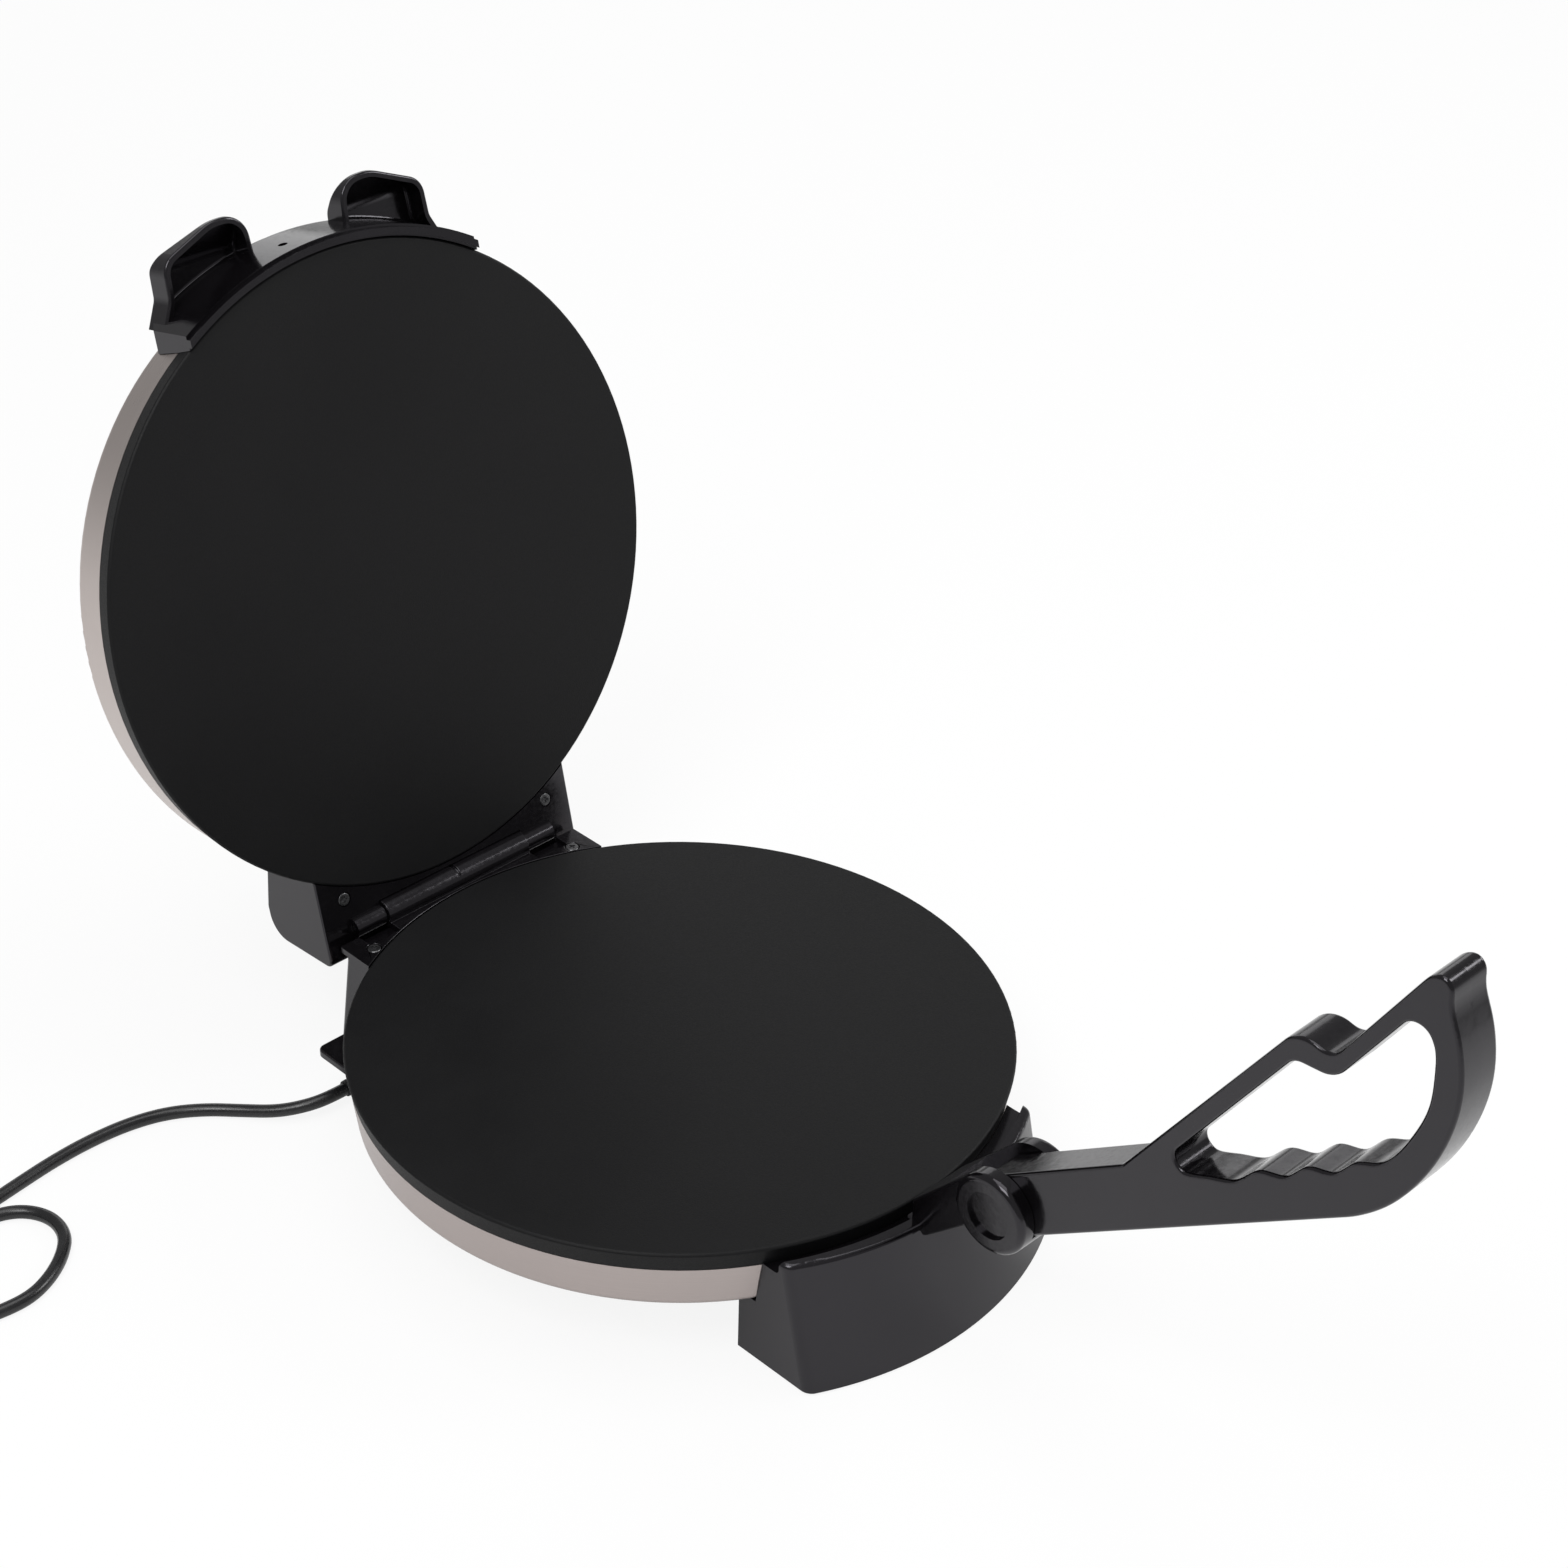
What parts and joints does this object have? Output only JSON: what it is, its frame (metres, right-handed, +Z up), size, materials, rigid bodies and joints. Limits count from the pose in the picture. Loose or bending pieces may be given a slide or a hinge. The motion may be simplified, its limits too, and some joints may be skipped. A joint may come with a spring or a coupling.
{
  "type": "electric tortilla press",
  "caption": "Round electric press with a heated base, a heated lid on a rear hinge and a lever handle that swings over the closed lid; a cord with a plug leaves the rear.",
  "frame": {"origin": "on the table, under the middle of the object's box without its cord", "axes": "+Z up, +Y from the handle towards the rear hinge, +X to the right seen from the handle"},
  "size_m": [0.6156, 0.6645, 0.3882],
  "materials": {
    "black_gloss": "moulded, polished",
    "nonstick": "satin non-stick coating on cast aluminium",
    "band_steel": "satin",
    "plated_sheet": "plated sheet",
    "element_steel": "drawn tube",
    "dark_steel": "blackened",
    "pin_steel": "ground",
    "brass_part": "plain",
    "pale_insulator": "fired",
    "black_rubber": "matt",
    "cord_jacket": "smooth",
    "plug_plastic": "moulded"
  },
  "bodies": {
    "base": {"lower_plate": "nonstick", "lower_heating_element": "element_steel", "lower_heat_shield": "plated_sheet", "lower_thermostat": "pale_insulator", "lower_casing": "band_steel", "lower_spacers": "dark_steel", "bottom_cover": "plated_sheet", "bottom_screws": "dark_steel", "thermal_fuse": "brass_part", "terminal_block": "pale_insulator", "inner_leads": "cord_jacket", "front_foot": "black_gloss", "front_rubber_feet": "black_rubber", "rear_housing": "black_gloss", "rear_rubber_feet": "black_rubber", "rear_tabs": "black_gloss", "stand_screws": "dark_steel", "hinge_deck": "black_gloss", "deck_screws": "dark_steel", "hinge_pin": "pin_steel", "handle_pin": "pin_steel", "pivot_caps": "black_gloss", "strain_relief": "black_rubber", "power_cord": "cord_jacket", "cord_coil": "cord_jacket", "cord_tail": "cord_jacket", "plug": "plug_plastic", "plug_blades": "brass_part"},
    "lid": {"upper_plate": "nonstick", "upper_heating_element": "element_steel", "upper_heat_shield": "plated_sheet", "upper_thermostat": "pale_insulator", "upper_casing": "band_steel", "upper_studs": "dark_steel", "lid_yoke": "black_gloss", "yoke_screws": "dark_steel", "hinge_block": "black_gloss", "block_screws": "dark_steel"},
    "handle": {"handle_left_half": "black_gloss", "handle_right_half": "black_gloss", "handle_screws": "dark_steel", "handle_bush": "brass_part"}
  },
  "joints": [
    {"name": "lid_hinge", "type": "hinge", "parent": "base", "child": "lid", "pos_m": [0, 0.22778, 0.0665], "axis": [1, 0, 0], "range_deg": [0, 103.2]},
    {"name": "handle_pivot", "type": "hinge", "parent": "base", "child": "handle", "pos_m": [0, -0.13472, 0.0925], "axis": [-1, 0, 0], "range_deg": [0, 118]}
  ]
}
